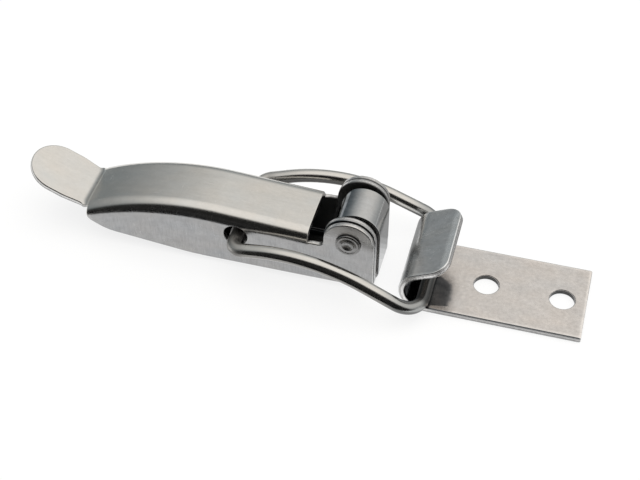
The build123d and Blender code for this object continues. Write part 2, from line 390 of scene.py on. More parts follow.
class LeverShape:
    """The lever's folded surface: cambered web, long bends, walls and thumb tab."""

    nudge = 0.01  # step along or across the sheet that its directions are measured with
    slack = 0.001  # a place this near to a region's end still belongs to it

    def __init__(self, p):
        self.p = p
        self.half = p.lever_width / 2
        # Across the blank: the end of the flat web and the end of the long bend.
        self.flat = self.half - p.bend
        self.bend_end = self.flat + p.bend * math.pi / 2
        # Along it: where the long bend has run out into the ear.
        self.ear_from = p.web_end_x + 1.5
        self.tab_half = p.thumb_width / 2
        self.channel_end = p.thumb_x + p.thumb_setback
        # The web's arc meets its straight run without a corner.
        fall = math.tan(p.web_slope) * (p.web_end_x - p.crest_x - p.camber * math.sin(p.web_slope))
        self.camber_z = p.web_end_z + fall - p.camber * math.cos(p.web_slope)
        self.join_x = p.crest_x + p.camber * math.sin(p.web_slope)
        # Thumb bend: a round from the web, where the web leans by lean, up into the tab. It starts
        # at a distance reach from the corner of the two.
        middle = p.thumb_bend + p.lever_sheet / 2
        self.lean = math.asin((p.thumb_x + (p.thumb_bend + p.lever_sheet) / 4 - p.crest_x) / p.camber)
        self.turn = p.thumb_tilt - self.lean
        self.reach = middle * math.tan(self.turn / 2)
        corner_z = math.sqrt((p.camber - p.lever_sheet / 2) ** 2 - (p.thumb_x - p.crest_x) ** 2)
        corner = Vector((p.thumb_x, 0, self.camber_z + corner_z))
        upright = leaning(self.lean)
        start = corner + Vector((upright.z, 0, -upright.x)) * self.reach
        start += upright * (p.lever_sheet / 2)
        self.round_centre = start + upright * p.thumb_bend
        self.round_from = start.x
        self.round_to = start.x - p.thumb_bend * self.turn
        # The long bends flatten out between these two places.
        self.level_to = self.round_to - 1.0
        self.level_from = self.round_from + 0.3

    def web(self, x):
        """Place and normal of the web's middle line."""
        p = self.p
        if x > self.join_x:
            z = p.web_end_z + math.tan(p.web_slope) * (p.web_end_x - x)
            return Vector((x, 0, z)), leaning(p.web_slope)
        lean = math.asin((x - p.crest_x) / p.camber)
        return Vector((x, 0, self.camber_z + p.camber * math.cos(lean))), leaning(lean)

    def tab(self, u):
        """Place and normal along the thumb bend and the tab."""
        part = min((self.round_from - u) / self.p.thumb_bend, self.turn)
        normal = leaning(self.lean + part)
        place = self.round_centre - normal * self.p.thumb_bend
        return place + Vector((-normal.z, 0, normal.x)) * max(self.round_to - u, 0), normal

    def skin(self, u, across):
        """Place and normal of the channel, the thumb bend and the tab on the side of positive y."""
        p = self.p
        in_tab = u < self.round_from and across <= self.tab_half + 3 * self.nudge
        if u > self.ear_from:
            return self.wall(u, across), Vector((0, 1, 0))
        flat_place, upright = self.tab(u) if in_tab else self.web(u)
        if across <= self.flat + self.slack:
            return flat_place + Vector((0, across, 0)), upright
        angle = min((across - self.flat) / p.bend, math.pi / 2)
        bent = upright * math.cos(angle) + Vector((0, math.sin(angle), 0))
        place = flat_place + bent * p.bend - upright * p.bend + Vector((0, self.flat, 0))
        # The long bends flatten out through the thumb bend.
        level = 1 - smooth(across, self.tab_half, self.tab_half + 0.4)
        level *= 1 - smooth(u, self.level_to, self.level_from)
        place = place.lerp(flat_place + Vector((0, across, 0)), level)
        # Past the web's open end the bend runs out into the ear.
        ear = smooth(u, p.web_end_x, self.ear_from)
        return place.lerp(self.wall(u, across), ear), bent

    def wall(self, u, across):
        """Place on the flat of the wall."""
        place, upright = self.web(u)
        place += Vector((0, self.half, self.bend_end - across)) - upright * self.p.bend
        return place

    def fold(self, u, v):
        """Place, directions and normal of the folded sheet at u, v of the blank."""
        across, nudge = abs(v), self.nudge
        # The directions come from two nearby places on the side of positive y.
        if across >= self.bend_end:
            place, normal = self.wall(u, across), Vector((0, 1, 0))
            before, beyond = self.wall(u + nudge, across), self.wall(u, across + nudge)
        else:
            place, normal = self.skin(u, across)
            before = self.skin(u + nudge, across)[0]
            beyond = self.skin(u, across + nudge if across < nudge else across - nudge)[0]
        along, out = (before - place).normalized(), (beyond - place).normalized()
        surface = along.cross(out).normalized()
        if surface.dot(normal) < 0:
            surface = -surface
        if v < 0:
            for vector in (place, along, surface):
                vector.y = -vector.y
        return place, along, surface.cross(along), surface

    def trim(self, v, x, span=2.5, halvings=36):
        """Blank coordinate u at which the folded sheet reaches x, found by halving a span."""
        low, high = x - span, x + span
        for _ in range(halvings):
            u = (low + high) / 2
            place = self.wall(u, v) if v >= self.bend_end else self.skin(u, v)[0]
            low, high = (u, high) if place.x < x else (low, u)
        return u

    def on_wall(self, x, z):
        """Blank coordinates of a point of the wall, or of the long bend above its nose."""
        p = self.p
        depth = p.camber - math.hypot(x - p.crest_x, z - self.camber_z)
        if x < p.crest_x and depth < p.bend:
            u = p.crest_x + (x - p.crest_x) * p.camber / (p.camber - depth)
            return u, self.flat + p.bend * math.acos(1 - depth / p.bend)
        u = self.trim(self.bend_end, x)
        return u, self.bend_end + self.wall(u, self.bend_end).z - z

    def tab_u(self, reach):
        """Blank coordinate u at a distance from the thumb bend's corner along the tab."""
        if reach > self.reach:
            return self.round_to - (reach - self.reach)
        left = math.asin((self.reach - reach) / (self.p.thumb_bend + self.p.lever_sheet / 2))
        return self.round_to + self.p.thumb_bend * left

    def outline(self):
        """Half outline of the blank from the middle of the web's open end to the thumb tab's tip."""
        p = self.p
        ear, foot = p.ear_radius, p.wall_foot_z
        floor = p.web_end_z - p.notch_depth
        top_z = self.web(self.channel_end)[0].z
        nose_z = top_z - p.nose_drop
        wall = [
            (p.web_end_x, floor, 0),
            (-ear, floor, p.notch_radius),
            (-ear, p.pivot_z, 0),
            *[(x, z, 0) for x, z in arc((0, p.pivot_z), ear, 180, 0)[1:-1]],
            (ear, p.pivot_z, 0),
            (ear, foot, p.ear_foot_radius),
            (p.foot_end_x, foot, p.foot_radius),
            (p.heel_x, nose_z - p.heel_drop, p.heel_radius),
            (self.channel_end, nose_z, p.nose_radius),
            (self.channel_end, top_z, 0),
        ]
        wall = [self.on_wall(x, z) for x, z in divided(rounded(wall), 0.8)[:-1]]
        points = [(self.trim(v, p.web_end_x), v) for v in steps_between(0, wall[0][1], 0.35)[:-1]]
        # The top of the blunt end lies on the long bend and is trimmed to its place below.
        while wall[-1][1] < self.half:
            wall.pop()
        points += wall
        tab_edge = self.tab_half
        blunt_end = steps_between(tab_edge + 0.1, wall[-1][1], 0.3)[-2::-1]
        points += [(self.trim(v, self.channel_end), v) for v in blunt_end]
        # The tab: a short flare, a slightly widening neck and a round end.
        flare_y = p.thumb_neck / 2 + p.thumb_flare
        start = 180 + math.degrees(math.asin((flare_y - tab_edge) / p.thumb_flare))
        points.append((self.channel_end - 0.1, tab_edge))
        tab = arc((p.thumb_flare, flare_y), p.thumb_flare, start, 270)
        round_reach = p.thumb_length - tab_edge
        neck = p.thumb_neck / 2
        for reach in steps_between(p.thumb_flare, round_reach, 0.8)[1:]:
            widening = smooth(reach, p.thumb_flare, 0.65 * round_reach)
            tab.append((reach, neck + widening * (tab_edge - neck)))
        tab += arc((round_reach, 0), tab_edge, 90, 0, 5)[1:]
        return points + [(self.tab_u(reach), y) for reach, y in tab]


def build_lever(p):
    """Folds the lever from its blank."""
    shape = LeverShape(p)
    loops = [both_sides(shape.outline())]
    rivet_hole = circle((0, p.pivot_z), p.pin_hole / 2)
    wire_hole = circle((p.wire_hole_x, p.wire_hole_z), p.wire_hole / 2)
    for hole in (rivet_hole, wire_hole):
        hole = [shape.on_wall(*point) for point in hole]
        loops += [hole, mirrored(hole)]
    # The blank is cut finely where it bends.
    u_cuts = steps_between(shape.round_from + 1.5, p.web_end_x - 0.5, 0.9)
    u_cuts += steps_between(shape.level_to, shape.level_from, 0.2)
    u_cuts += steps_between(p.web_end_x, shape.ear_from, 0.3)
    across = steps_between(shape.flat, shape.bend_end, p.bend * math.radians(5))
    across += steps_between(0, shape.flat, 0.9)[1:-1]
    v_cuts = [side * v for v in across for side in (1, -1)] + [0]
    return fold_sheet("lever_pressing", loops, shape.fold, 0, -p.lever_sheet, p.edge, u_cuts, v_cuts)


class BaseShape:
    """The base bracket's folded surface: strip, side ears and the tongue curled into the knuckle."""

    def __init__(self, p):
        self.p = p
        self.half = p.width / 2
        self.ear_from = self.half - p.side_bend
        self.ear_run = p.side_bend * math.pi / 2
        self.tongue_x = p.knuckle_offset + p.knuckle_radius
        self.rise_from = self.tongue_x - p.front_bend + p.front_bend * math.pi / 2
        self.curl_from = self.rise_from + p.pivot_z - p.front_bend
        self.curl_to = self.curl_from + p.knuckle_radius * p.knuckle_wrap

    def path(self, u):
        """Place and direction of the sheet's lower face along the middle, from strip to knuckle."""
        p = self.p
        bend_x = self.tongue_x - p.front_bend
        if u <= bend_x:
            return Vector((u, 0, 0)), Vector((1, 0, 0))
        if u <= self.rise_from:
            angle = (u - bend_x) / p.front_bend
            way = Vector((math.cos(angle), 0, math.sin(angle)))
            return Vector((bend_x, 0, p.front_bend)) + Vector((way.z, 0, -way.x)) * p.front_bend, way
        if u <= self.curl_from:
            return Vector((self.tongue_x, 0, p.front_bend + u - self.rise_from)), Vector((0, 0, 1))
        angle = (u - self.curl_from) / p.knuckle_radius
        out = Vector((math.cos(angle), 0, math.sin(angle)))
        centre = Vector((p.knuckle_offset, 0, p.pivot_z))
        return centre + out * p.knuckle_radius, Vector((-out.z, 0, out.x))

    def fold(self, u, v):
        """Place, directions and normal of the folded sheet at u, v of the blank."""
        p = self.p
        side, across = math.copysign(1, v), abs(v)
        if across <= self.ear_from or u < p.ear_rear_x - 0.1:
            place, along = self.path(u)
            place.y = v
            return place, along, Vector((0, 1, 0)), along.cross(Vector((0, 1, 0)))
        along = Vector((1, 0, 0))
        angle = min((across - self.ear_from) / p.side_bend, math.pi / 2)
        normal = Vector((0, -side * math.sin(angle), math.cos(angle)))
        place = Vector((u, side * self.ear_from, p.side_bend)) - normal * p.side_bend
        place.z += max(across - self.ear_from - self.ear_run, 0)
        return place, along, normal.cross(along), normal

    def on_ear(self, x, z):
        """Blank coordinates of a point of an ear."""
        if z >= self.p.side_bend:
            return x, self.ear_from + self.ear_run + z - self.p.side_bend
        return x, self.ear_from + self.p.side_bend * math.acos(1 - z / self.p.side_bend)

    def outline(self):
        """Half outline of the blank from the strip's rear end to the tip of the curled tongue."""
        p = self.p
        tongue, slit = p.knuckle_length / 2, p.ear_rear_x - p.relief
        slit_floor = self.ear_from - 0.5
        mouth_round, floor_round, foot_round = 0.4, 0.25, 0.5
        chamfer = 0.3  # of the tongue's tip
        flat = [
            (p.strip_end_x, 0, 0),
            (p.strip_end_x, self.half, p.end_radius),
            (slit, self.half, mouth_round),
            (slit, slit_floor, floor_round),
            (p.ear_rear_x, slit_floor, floor_round),
            (p.ear_rear_x, self.ear_from + 0.1, 0),
        ]
        ear = [
            (p.ear_rear_x, 0.05, 0),
            (p.ear_rear_x, p.side_bend, 0),
            (-p.ear_radius, p.pivot_z, 0),
            *[(x, z, 0) for x, z in arc((0, p.pivot_z), p.ear_radius, 180, 0)[1:-1]],
            (p.ear_radius, p.pivot_z, 0),
            (p.ear_radius, p.ear_foot_z, foot_round),
            (p.relief_x, p.ear_foot_z, 0),
        ]
        points = rounded(flat)[:-1]
        for z in steps_between(0, p.side_bend, 0.3)[1:-1]:
            points.append(self.on_ear(p.ear_rear_x, z))
        points += [self.on_ear(x, z) for x, z in rounded(ear)[1:]]
        points += [
            self.on_ear(p.relief_x, p.side_bend),
            (p.relief_x, self.ear_from),
            (p.relief_x, tongue + floor_round),
            (p.relief_x + floor_round, tongue),
            (self.curl_to - chamfer, tongue),
            (self.curl_to, tongue - chamfer),
            (self.curl_to, 0),
        ]
        return points


def build_base(p):
    """Folds the base bracket from its blank."""
    shape = BaseShape(p)
    loops = [both_sides(shape.outline())]
    pin = [shape.on_ear(*point) for point in circle((0, p.pivot_z), p.pin_hole / 2)]
    loops += [pin, mirrored(pin)]
    first = p.strip_end_x + p.hole_edge
    loops += [circle((x, 0), p.mount_hole / 2) for x in (first, first + p.mount_pitch)]
    u_cuts = steps_between(shape.tongue_x - p.front_bend, shape.rise_from, p.front_bend * 0.13)
    u_cuts += steps_between(shape.curl_from, shape.curl_to, p.knuckle_radius * 0.11)[:-1]
    bends = steps_between(shape.ear_from, shape.ear_from + shape.ear_run, p.side_bend * 0.16)
    v_cuts = [side * v for v in bends for side in (1, -1)]
    return fold_sheet("base_pressing", loops, shape.fold, p.sheet, 0, p.edge, u_cuts, v_cuts)


class CatchShape:
    """The catch plate's folded surface, taken through the middle of the sheet."""

    def __init__(self, p):
        self.p = p
        self.radius = p.hook_radius + p.sheet / 2
        self.turn = math.pi - p.hook_tilt
        self.tongue_from = p.hook_x - self.radius * self.turn
        self.tip = self.tongue_from - p.tongue

    def fold(self, u, v):
        """Place, directions and normal of the folded sheet at u, v of the blank."""
        p = self.p
        angle = min(max((p.hook_x - u) / self.radius, 0), self.turn)
        along = Vector((math.cos(angle), 0, -math.sin(angle)))
        normal = Vector((math.sin(angle), 0, math.cos(angle)))
        centre = Vector((p.hook_x, v, p.sheet + p.hook_radius))
        place = centre - normal * self.radius
        place += along * (max(u - p.hook_x, 0) + min(u - self.tongue_from, 0))
        return place, along, Vector((0, 1, 0)), normal


def build_catch(p):
    """Rolls the catch plate from its blank."""
    shape = CatchShape(p)
    half = p.width / 2
    corners = [
        (p.end_x, -half, p.end_radius),
        (p.end_x, half, p.end_radius),
        (shape.tip, half, p.corner_radius),
        (shape.tip, -half, p.corner_radius),
    ]
    last = p.end_x - p.hole_edge
    loops = [rounded(corners)]
    loops += [circle((x, 0), p.mount_hole / 2) for x in (last, last - p.mount_pitch)]
    u_cuts = steps_between(shape.tongue_from, p.hook_x, shape.radius * 0.1)
    face = p.sheet / 2
    return fold_sheet("catch_pressing", loops, shape.fold, face, -face, p.edge, u_cuts, [])


# ---- Wire bail --------------------------------------------------------------------------------
BEND_STEPS = 18  # steps round each bend of the wire
WIRE_SIDES = 40
WIRE_END_ANGLE = math.radians(30)  # a sharper turn than this is a sharp edge


def bail_points(p):
    """Corners of the bail's centreline with the radius of each bend, in millimetres."""
    leg_end = p.lever_width / 2 - p.lever_sheet - p.leg_reach
    hole_half = p.lever_width / 2 + p.side_gap + p.wire / 2
    near = [
        (p.wire_hole_x, -leg_end, p.leg_z, 0),
        (p.wire_hole_x, -leg_end - p.end_chamfer, p.leg_z, 0),
        (p.wire_hole_x, -hole_half, p.leg_z, p.leg_bend),
        (p.crest_x, -p.crest_width / 2, p.leg_z + p.crest_rise, p.crest_radius),
        (p.crossbar_x, -p.hook_width / 2, p.crossbar_z, p.corner_radius),
    ]
    return near + [(x, -y, z, radius) for x, y, z, radius in reversed(near)]


def build_bail(p, material):
    """Bends the bail's wire along its corners and leaves it a plain mesh."""
    points = bail_points(p)
    mesh = bpy.data.meshes.new("bail_line")
    links = [(i, i + 1) for i in range(len(points) - 1)]
    mesh.from_pydata([Vector(point[:3]) * MM for point in points], links, [])
    bend = mesh.attributes.new("bend_radius", "FLOAT", "POINT")
    bend.data.foreach_set("value", [point[3] * MM for point in points])
    bail = add_piece("bail_wire", mesh)
    tree = wire_tree()
    modifier = bail.modifiers.new("bent_wire", "NODES")
    modifier.node_group = tree
    sizes = {"Wire radius": p.wire / 2 * MM, "End chamfer": p.end_chamfer * MM, "Finish": material}
    for item in tree.interface.items_tree:
        if item.in_out == "INPUT" and item.name in sizes:
            modifier[item.identifier] = sizes[item.name]
    evaluated = bail.evaluated_get(bpy.context.evaluated_depsgraph_get())
    mesh = bpy.data.meshes.new_from_object(evaluated)
    bail.modifiers.clear()
    bail.data = mesh
    mesh.name = "bail_wire"
    mesh.shade_smooth()
    mesh.set_sharp_from_angle(angle=WIRE_END_ANGLE)
    return bail


def wire_tree():
    """Geometry nodes that round a line's corners and sweep a wire with chamfered ends along it.

    The wire's attribute "along" is the place along the line and "around" the place in the section.
    """
    tree = bpy.data.node_groups.new("bent_wire", "GeometryNodeTree")
    for name, way, kind in (
        ("Line", "INPUT", "NodeSocketGeometry"),
        ("Wire radius", "INPUT", "NodeSocketFloat"),
        ("End chamfer", "INPUT", "NodeSocketFloat"),
        ("Finish", "INPUT", "NodeSocketMaterial"),
        ("Wire", "OUTPUT", "NodeSocketGeometry"),
    ):
        tree.interface.new_socket(name=name, in_out=way, socket_type=kind)
    graph = Graph(tree)
    line, radius, chamfer, finish = graph.node("NodeGroupInput", output=None)[:4]
    bend = graph.node("GeometryNodeInputNamedAttribute", {"data_type": "FLOAT"}, {"Name": "bend_radius"})
    curve = graph.node("GeometryNodeMeshToCurve", None, {"Mesh": line})
    curve = graph.node(
        "GeometryNodeFilletCurve", {"mode": "POLY"}, {"Curve": curve, "Count": BEND_STEPS, "Radius": bend}
    )
    along = graph.node("GeometryNodeSplineParameter", output="Length")
    curve = graph.node(
        "GeometryNodeStoreNamedAttribute",
        {"data_type": "FLOAT", "domain": "POINT"},
        {"Geometry": curve, "Name": "along", "Value": along},
    )
    whole = graph.node("GeometryNodeCurveLength", None, {"Curve": curve})
    ring = graph.node(
        "GeometryNodeCurvePrimitiveCircle", {"mode": "RADIUS"}, {"Resolution": WIRE_SIDES, "Radius": radius}
    )
    ring = graph.node(
        "GeometryNodeStoreNamedAttribute",
        {"data_type": "FLOAT_VECTOR", "domain": "POINT"},
        {"Geometry": ring, "Name": "around", "Value": graph.node("GeometryNodeInputPosition")},
    )
    from_end = along.maths("MINIMUM", along, whole - along)
    scale = from_end.maths("MINIMUM", (radius - chamfer + from_end) / radius, 1.0)
    wire = graph.node(
        "GeometryNodeCurveToMesh",
        None,
        {"Curve": curve, "Profile Curve": ring, "Scale": scale, "Fill Caps": True},
    )
    wire = graph.node("GeometryNodeRealizeInstances", None, {"Geometry": wire})
    wire = graph.node("GeometryNodeSetMaterial", None, {"Geometry": wire, "Material": finish})
    graph.node("NodeGroupOutput", None, {"Wire": wire}, output=None)
    return tree


# ---- Pivot rivet --------------------------------------------------------------------------------
RIVET_SIDES = 64
RIVET_EDGE_ANGLE = math.radians(40)  # a sharper turn than this is a sharp edge


def rivet_profile(p):
    """Radius and y of the turned outline: rolled flat tail in front, domed head behind."""
    head, shank = p.head_dia / 2, p.shank / 2
    dimple, top = p.dimple_dia / 2, p.tail_height
    seat = p.lever_width / 2 + p.head_gap
    # The tail's radius and height over the lever's wall, from the dimple outwards.
    tail = [
        (0.0, top - p.dimple_depth),
        (0.5 * dimple, top - 0.85 * p.dimple_depth),
        (0.8 * dimple, top - 0.4 * p.dimple_depth),
        (dimple, top - 0.08),
        (dimple + 0.12, top),
        (dimple + 0.30, top - 0.03),
        (head - 0.85, top - 0.16),
        (head - 0.70, top - 0.18),
        (head - 0.55, top - 0.10),
        (head - 0.25, top - 0.10),
        (head - 0.08, top - 0.18),
        (head, top - 0.32),
        (head, 0.05),
        (head - 0.05, 0.0),
    ]
    profile = [(radius, -seat - height) for radius, height in tail]
    profile += [(shank, -seat), (shank, seat), (head - 0.1, seat), (head, seat + 0.1)]
    rim = 0.15  # straight side under the dome
    for degrees in range(0, 90, 10):
        radius, rise = head * math.cos(math.radians(degrees)), math.sin(math.radians(degrees))
        profile.append((radius, seat + rim + (p.head_height - rim) * rise))
    return profile + [(0.0, seat + p.head_height)]


def build_rivet(p):
    """Turns the rivet's outline round its axis."""
    bm = bmesh.new()
    count = RIVET_SIDES
    angles = [2 * math.pi * i / count for i in range(count)]
    rings = []
    for radius, y in rivet_profile(p):
        if radius == 0:
            rings.append([bm.verts.new((0, y * MM, p.pivot_z * MM))] * count)
            continue
        ring = []
        for turn in angles:
            x, z = radius * math.cos(turn), p.pivot_z + radius * math.sin(turn)
            ring.append(bm.verts.new((x * MM, y * MM, z * MM)))
        rings.append(ring)
    for first, second in zip(rings, rings[1:]):
        for i in range(count):
            j = (i + 1) % count
            corners = dict.fromkeys((first[i], first[j], second[j], second[i]))
            bm.faces.new(tuple(corners))
    bmesh.ops.recalc_face_normals(bm, faces=bm.faces[:])
    mesh = bpy.data.meshes.new("rivet_turning")
    bm.to_mesh(mesh)
    bm.free()
    mesh.shade_smooth()
    mesh.set_sharp_from_angle(angle=RIVET_EDGE_ANGLE)
    return add_piece("rivet_turning", mesh)


# ---- Finishes, with painted light and shade -----------------------------------------------------
PER_METRE = 1000.0  # millimetres
# The walls' darker grey is partly a duller finish, partly painted shade.
DULL_SHADED_STEEL = 0.37  # grey of the lever's walls


class Spot(Graph):
    """Where a finish is worked out: a place on a piece, in millimetres, and the piece's sizes."""

    def __init__(self, tree, sizes=None):
        super().__init__(tree)
        self.p = sizes
        self.x, self.y, self.z = self.millimetres(self.node("ShaderNodeTexCoord", output="Object"))

    def millimetres(self, vector):
        """The three parts of a vector that is in metres."""
        return [part * PER_METRE for part in self.axes(vector)]

    def attribute(self, name, output):
        """An attribute of the mesh."""
        return self.node("ShaderNodeAttribute", {"attribute_name": name}, output=output)

    def flat(self):
        """Finds the place along and across the flat sheet."""
        place = self.node("ShaderNodeUVMap", {"uv_map": "flat"})
        self.along, self.across, _ = self.millimetres(place)

    def cloud(self, x, y, z=0.0, detail=3.0):
        """Noise about zero, mostly between -1 and 1."""
        return (self.noise(x, y, z, detail) - 0.5) * 4.0

    def size(self, value):
        """The value without its sign."""
        return value.maths("ABSOLUTE", value)

    def shade(self, colour, level, warmth=0.0):
        """A colour made lighter or darker by level, and warmer or cooler by warmth."""
        parts = {0: level * (1.0 + warmth), 1: level, 2: level * (1.0 - warmth)}
        tint = self.node("ShaderNodeCombineXYZ", None, parts)
        return self.mix_colour(1.0, colour, tint, "MULTIPLY")

    def bump(self, height, strength, distance):
        """A normal bent by a height given in units of distance millimetres."""
        inputs = {"Strength": strength, "Distance": distance * MM, "Height": height}
        return self.node("ShaderNodeBump", None, inputs)


def metal(name, p, paint):
    """Makes a metal material. paint(spot) returns the inputs that vary over the surface."""
    material = bpy.data.materials.new(name)
    material.use_nodes = True
    material.node_tree.nodes.clear()
    spot = Spot(material.node_tree, p)
    shader = spot.node("ShaderNodeBsdfPrincipled", None, {"Metallic": 1.0, **paint(spot)})
    spot.node("ShaderNodeOutputMaterial", None, {"Surface": shader}, output=None)
    return material


def sheet_steel(name, p, colour, roughness, mottle=0.06, dull_and_shaded=None, wear_and_highlight=None, painted_shade=None):
    """Rolled sheet: fine grain along it, clouds, hairline scratches and pits.

    mottle is the strength of the clouds. The last three arguments take the spot and return 1 where
    the sheet is rubbed duller and darkened by painted shade, where painted highlights and wear
    brighten it, and where painted shade darkens it, and 0 elsewhere.
    """

    def paint(at):
        at.flat()
        u, v = at.along, at.across
        # The factors of u and v are features in a millimetre along and across the sheet. The third
        # number is a layer of its own for each noise, so that no two are alike.
        grain = at.cloud(u * 0.5, v * 6.0, 1.0, 4.0)
        fine = at.cloud(u * 5.0, v * 5.0, 3.0, 2.0)
        cloud = at.cloud(u * 0.4, v * 0.5, 7.0, 5.0)
        tone = at.cloud(u * 0.12, v * 0.2, 9.0, 2.0)
        streaks = at.cloud(u * 3.0, v * 0.4, 27.0, 4.0)
        blotch = at.cloud(u * 1.3, v * 1.5, 29.0, 3.0)
        bands = at.cloud(u * 0.07, v * 0.7, 37.0, 2.0)
        # Scratches along and across the sheet, the latter in patches, and pits.
        hair = at.step(at.noise(u * 0.14 + v * 0.05, v * 3.2, 11.0, 1.0), 0.70, 0.76)
        cross = at.step(at.noise(u * 4.5 + v * 0.4, v * 0.3, 15.0, 1.0), 0.66, 0.74)
        cross = cross * at.step(at.noise(u * 0.15, v * 0.4, 19.0, 1.0), 0.5, 0.6)
        pits = at.step(at.noise(u * 2.2, v * 2.2, 23.0, 1.0), 0.27, 0.21)
        # Where the piece asks for duller walls with painted shade, for painted highlights and wear, and for
        # painted shade.
        rubbed = dull_and_shaded(at) if dull_and_shaded else 0.0
        bright = wear_and_highlight(at) * (0.75 + 0.25 * fine) if wear_and_highlight else 0.0
        dark = painted_shade(at) * (0.8 + 0.2 * cloud) if painted_shade else 0.0
        level = 1.0 + (cloud + blotch) * mottle * 0.7 + grain * 0.025 + fine * (0.01 + mottle * 0.3)
        level = level + bands * 0.03
        level = level + rubbed * (streaks * 0.09 + cloud * 0.06 + fine * 0.04)
        level = level + hair * 0.07 + cross * (0.06 + rubbed * 0.14) - pits * (0.10 + rubbed * 0.25)
        # Painted highlights lighten the sheet and painted shade darkens it.
        level = (level + bright * 0.5) * (1.0 - dark * 0.82)
        # The walls' darker grey is partly painted shade.
        body = at.mix_colour(rubbed, (*colour, 1.0), grey(DULL_SHADED_STEEL))
        rough = roughness + grain * 0.02 + cloud * mottle * 0.35 + rubbed * 0.02 + bright * 0.05
        rough = rough + hair * 0.08 + cross * 0.08 + pits * 0.08 - dark * 0.08
        height = grain * 0.25 + fine * (0.15 + rubbed * 0.2) + cloud * 0.4
        height = height - (hair + cross) * 0.3 - pits * 0.6
        return {
            "Base Color": at.shade(body, level, tone * 0.02 - dark * 0.1),
            "Roughness": rough,
            "Normal": at.bump(height, 0.5, 0.004),
        }

    return metal(name, p, paint)


def lever_walls_dull_and_shaded(at):
    """The lever's walls: duller than its web, and a darker grey as painted shade."""
    half = at.p.lever_width / 2
    return at.step(at.size(at.y), half - 0.4, half - 0.05)


def lever_painted_highlights(at):
    """Painted highlights: a bright line on the thumb tab's crease, the blunt ends of the walls and the tops
    of the ears.
    """
    p = at.p
    nose = at.step(at.x, p.thumb_x + 3.3, p.thumb_x + 1.3)
    ears = at.step(at.x, -p.ear_radius - 1.5, -p.ear_radius + 0.5)
    ears = ears * at.step(at.z, p.pivot_z, p.pivot_z + 3.0)
    tab = p.thumb_width / 2
    crease = at.step(at.size(at.x - (p.thumb_x + 1.15)), 0.3, 0.1)
    crease = crease * at.step(at.size(at.y), tab + 0.15, tab - 0.25)
    return (nose + ears * 2.2) * lever_walls_dull_and_shaded(at) + crease * 0.8


def wire_hole_painted_shade(at):
    """Painted shade on the walls of the lever's holes for the bail."""
    beside, above = at.x - at.p.wire_hole_x, at.z - at.p.wire_hole_z
    return at.step(beside * beside + above * above, 10.0, 8.0) * 0.9


def knuckle_painted_shade(at):
    """Painted shade on the rear of the knuckle."""
    behind = at.step(at.x + at.cloud(at.x, at.y, at.z) * 0.4, 0.5, -3.5)
    return behind * at.step(at.z, at.p.pivot_z - 7.0, at.p.pivot_z - 4.0) * 1.15


def strip_painted_shade(at):
    """Painted shade on the strip beside the ears."""
    rear = at.p.ear_rear_x
    painted_shade = at.step(at.x, rear - 7.6, rear - 5.6) * at.step(at.x, rear + 0.4, rear - 0.6)
    return painted_shade * at.step(at.size(at.y), 4.6, 5.2)


def hook_painted_shade(at):
    """Painted shade in the bend of the hook and on the plate under its tongue, and along the rims of the
    cut sides.
    """
    half, bend = at.p.width / 2, at.p.hook_x
    # The painted shade reaches out on to the plate, but not as far behind the tongue or along the cut side.
    inward = at.step(at.across, -3.0, 1.0) + at.step(at.across, 1.8 - half, 0.6 - half)
    wander = at.cloud(at.along * 0.5, at.across * 0.5, 5.0) * 0.3
    puddle = at.step(at.along + wander + inward * 4.0, bend + 5.7, bend + 4.4)
    puddle = puddle * at.step(at.along, bend - 10.2, bend - 8.2)
    return puddle + at.step(at.size(at.across), half - 0.26, half - 0.1)


def plate_wear_and_highlights(at):
    """Bright rims along the plate's sides, its free end and the hook's tip: wear, and painted highlight of
    the rounded edges.
    """
    half, end, tip = at.p.width / 2, at.p.end_x, CatchShape(at.p).tip
    wander = at.cloud(at.along * 0.3, at.across * 0.3, 31.0) * 0.15
    sides = at.step(at.size(at.across) + wander, half - 0.9, half - 0.2)
    ends = at.step(at.along + wander, end - 0.8, end - 0.2)
    ends = ends + at.step(at.along + wander, tip + 2.0, tip + 1.0)
    return sides * 0.6 + ends


def plate_edge_painted_shade(at):
    """Painted shade on the hole walls, and on the long sides' edges, which are darker than the hook's."""
    p = at.p
    radius, last = p.mount_hole / 2, p.end_x - p.hole_edge
    low, high = last - p.mount_pitch - radius, last + radius
    holes = at.step(at.size(at.across), radius + 0.75, radius + 0.25)
    holes = holes * at.step(at.along, low - 1.5, low - 0.5) * at.step(at.along, high + 1.0, high + 0.5)
    return holes + at.step(at.along, p.hook_x - 1.2, p.hook_x + 2.8) * (1.0 - holes) * 0.48


def sheared_edge(name, p, dark=None):
    """Edge left by the press tool: a shiny cut band over a grey torn one, with short upright tears, and
    painted shade along its top.

    dark takes the spot and returns 1 where painted shade makes the edge black.
    """

    def paint(at):
        depth = at.attribute("depth", "Fac")
        tears = at.cloud(at.x * 2.5, at.y * 2.5, at.z * 0.8, 4.0)
        fine = at.cloud(at.x * 7.0, at.y * 7.0, at.z * 3.0, 2.0)
        torn = at.step(depth + tears * 0.08, 0.48, 0.36)
        # Painted shade: a dark line along the top of the cut face.
        rim_shade = at.step(depth + tears * 0.05, 0.70, 0.80)
        level = 1.0 + tears * 0.14 + fine * 0.10 - torn * 0.25
        level = level * (1.0 - rim_shade * (0.75 + tears * 0.25))
        if dark:
            at.flat()
            level = level * (1.0 - dark(at) * 0.9)
        return {
            "Base Color": at.shade((*p.edge_colour, 1.0), level, 0.01),
            "Roughness": 0.26 + torn * 0.18 + tears * 0.04,
            "Normal": at.bump(tears + fine * 0.6 - torn * 0.8, 0.6, 0.02),
        }

    return metal(name, p, paint)


